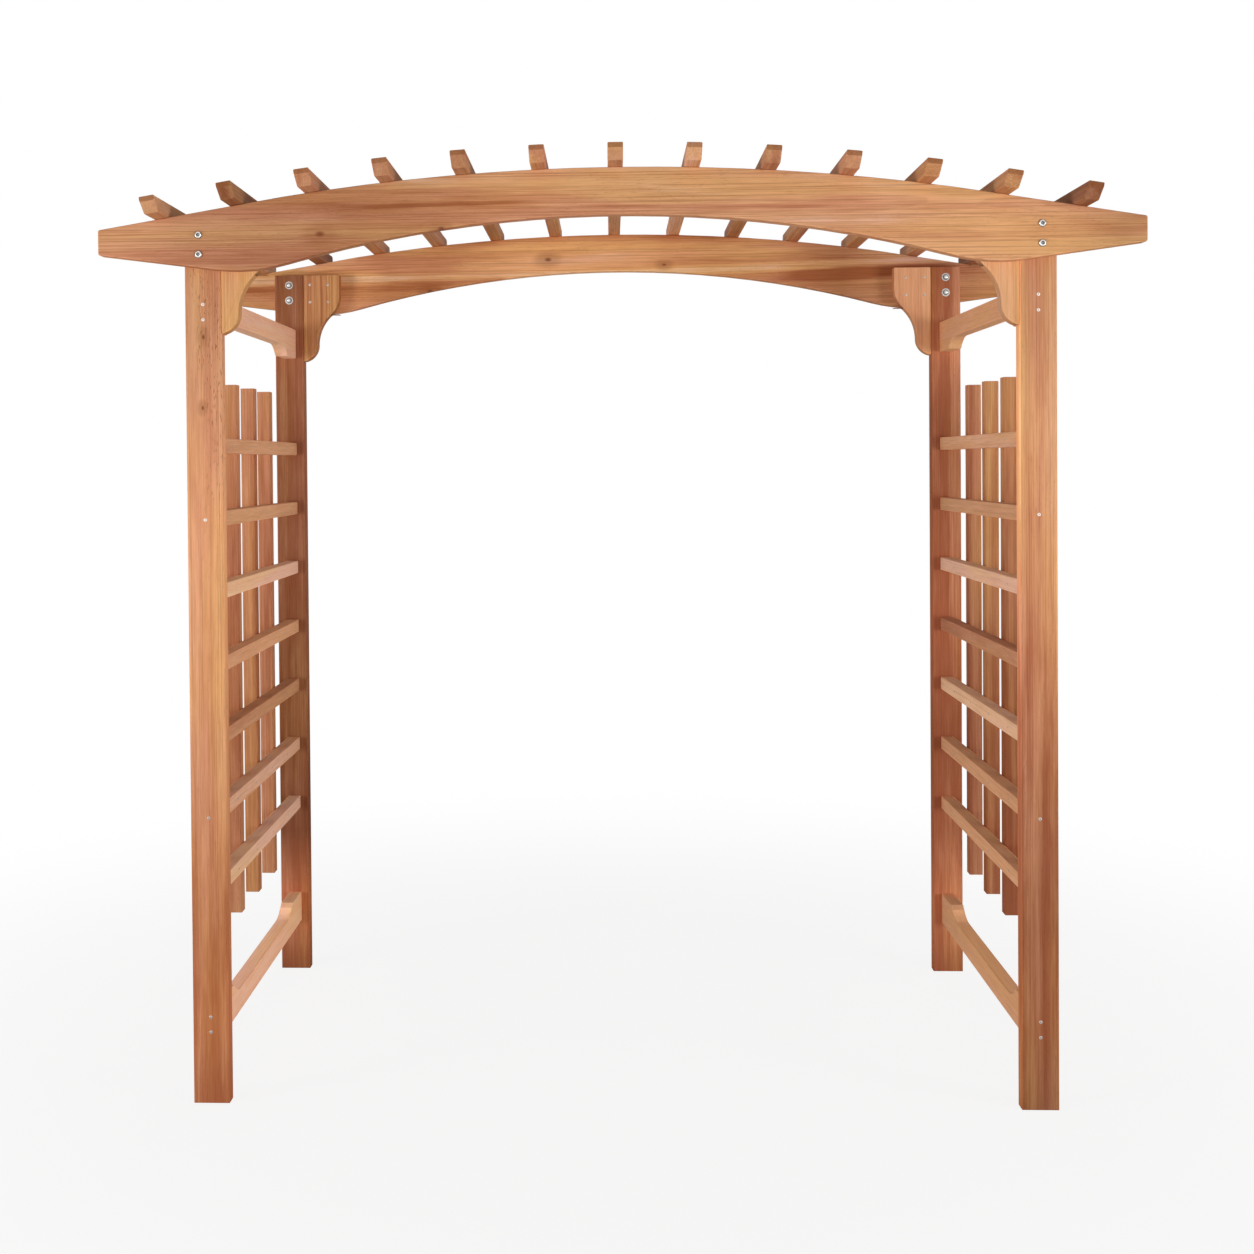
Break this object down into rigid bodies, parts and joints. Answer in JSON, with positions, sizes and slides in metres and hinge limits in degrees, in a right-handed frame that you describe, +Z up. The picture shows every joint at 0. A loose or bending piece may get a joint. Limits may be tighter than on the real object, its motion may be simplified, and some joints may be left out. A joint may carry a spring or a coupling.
{
  "type": "garden arbor",
  "caption": "Free-standing cedar garden arbor: arched beams on posts carry a row of rafters, with curved corner brackets and an open lattice at each side.",
  "frame": {"origin": "on the floor, in the middle of the plan", "axes": "+X along the width, from the left side to the right; -Y towards the front; +Z up"},
  "size_m": [2.48, 1.36, 2.288],
  "materials": {
    "cedar_posts": "oiled smooth-planed cedar, red-brown",
    "cedar_beams": "oiled smooth-planed cedar, honey to red-brown, with small knots",
    "cedar_rafters": "oiled smooth-planed cedar, red-brown",
    "cedar_brackets": "oiled smooth-planed cedar, golden",
    "cedar_rails": "oiled smooth-planed cedar, pinkish brown",
    "cedar_lattice": "oiled smooth-planed cedar, red-brown",
    "zinc_bolts": "bright zinc plate"
  },
  "bodies": {
    "root": {"post_front_left": "cedar_posts", "post_front_right": "cedar_posts", "post_back_left": "cedar_posts", "post_back_right": "cedar_posts", "beam_front": "cedar_beams", "beam_back": "cedar_beams", "rafter_1": "cedar_rafters", "rafter_2": "cedar_rafters", "rafter_3": "cedar_rafters", "rafter_4": "cedar_rafters", "rafter_5": "cedar_rafters", "rafter_6": "cedar_rafters", "rafter_7": "cedar_rafters", "rafter_8": "cedar_rafters", "rafter_9": "cedar_rafters", "rafter_10": "cedar_rafters", "rafter_11": "cedar_rafters", "rafter_12": "cedar_rafters", "rafter_13": "cedar_rafters", "bracket_front_left": "cedar_brackets", "bracket_front_right": "cedar_brackets", "bracket_back_left": "cedar_brackets", "bracket_back_right": "cedar_brackets", "top_rail_left": "cedar_rails", "top_rail_right": "cedar_rails", "bottom_rail_left": "cedar_rails", "bottom_rail_right": "cedar_rails", "battens_left": "cedar_lattice", "battens_right": "cedar_lattice", "picket_left_1": "cedar_lattice", "picket_left_2": "cedar_lattice", "picket_left_3": "cedar_lattice", "picket_left_4": "cedar_lattice", "picket_right_1": "cedar_lattice", "picket_right_2": "cedar_lattice", "picket_right_3": "cedar_lattice", "picket_right_4": "cedar_lattice", "bolts_front_left": "zinc_bolts", "bolts_front_right": "zinc_bolts", "bolts_back_left": "zinc_bolts", "bolts_back_right": "zinc_bolts"}
  },
  "joints": []
}
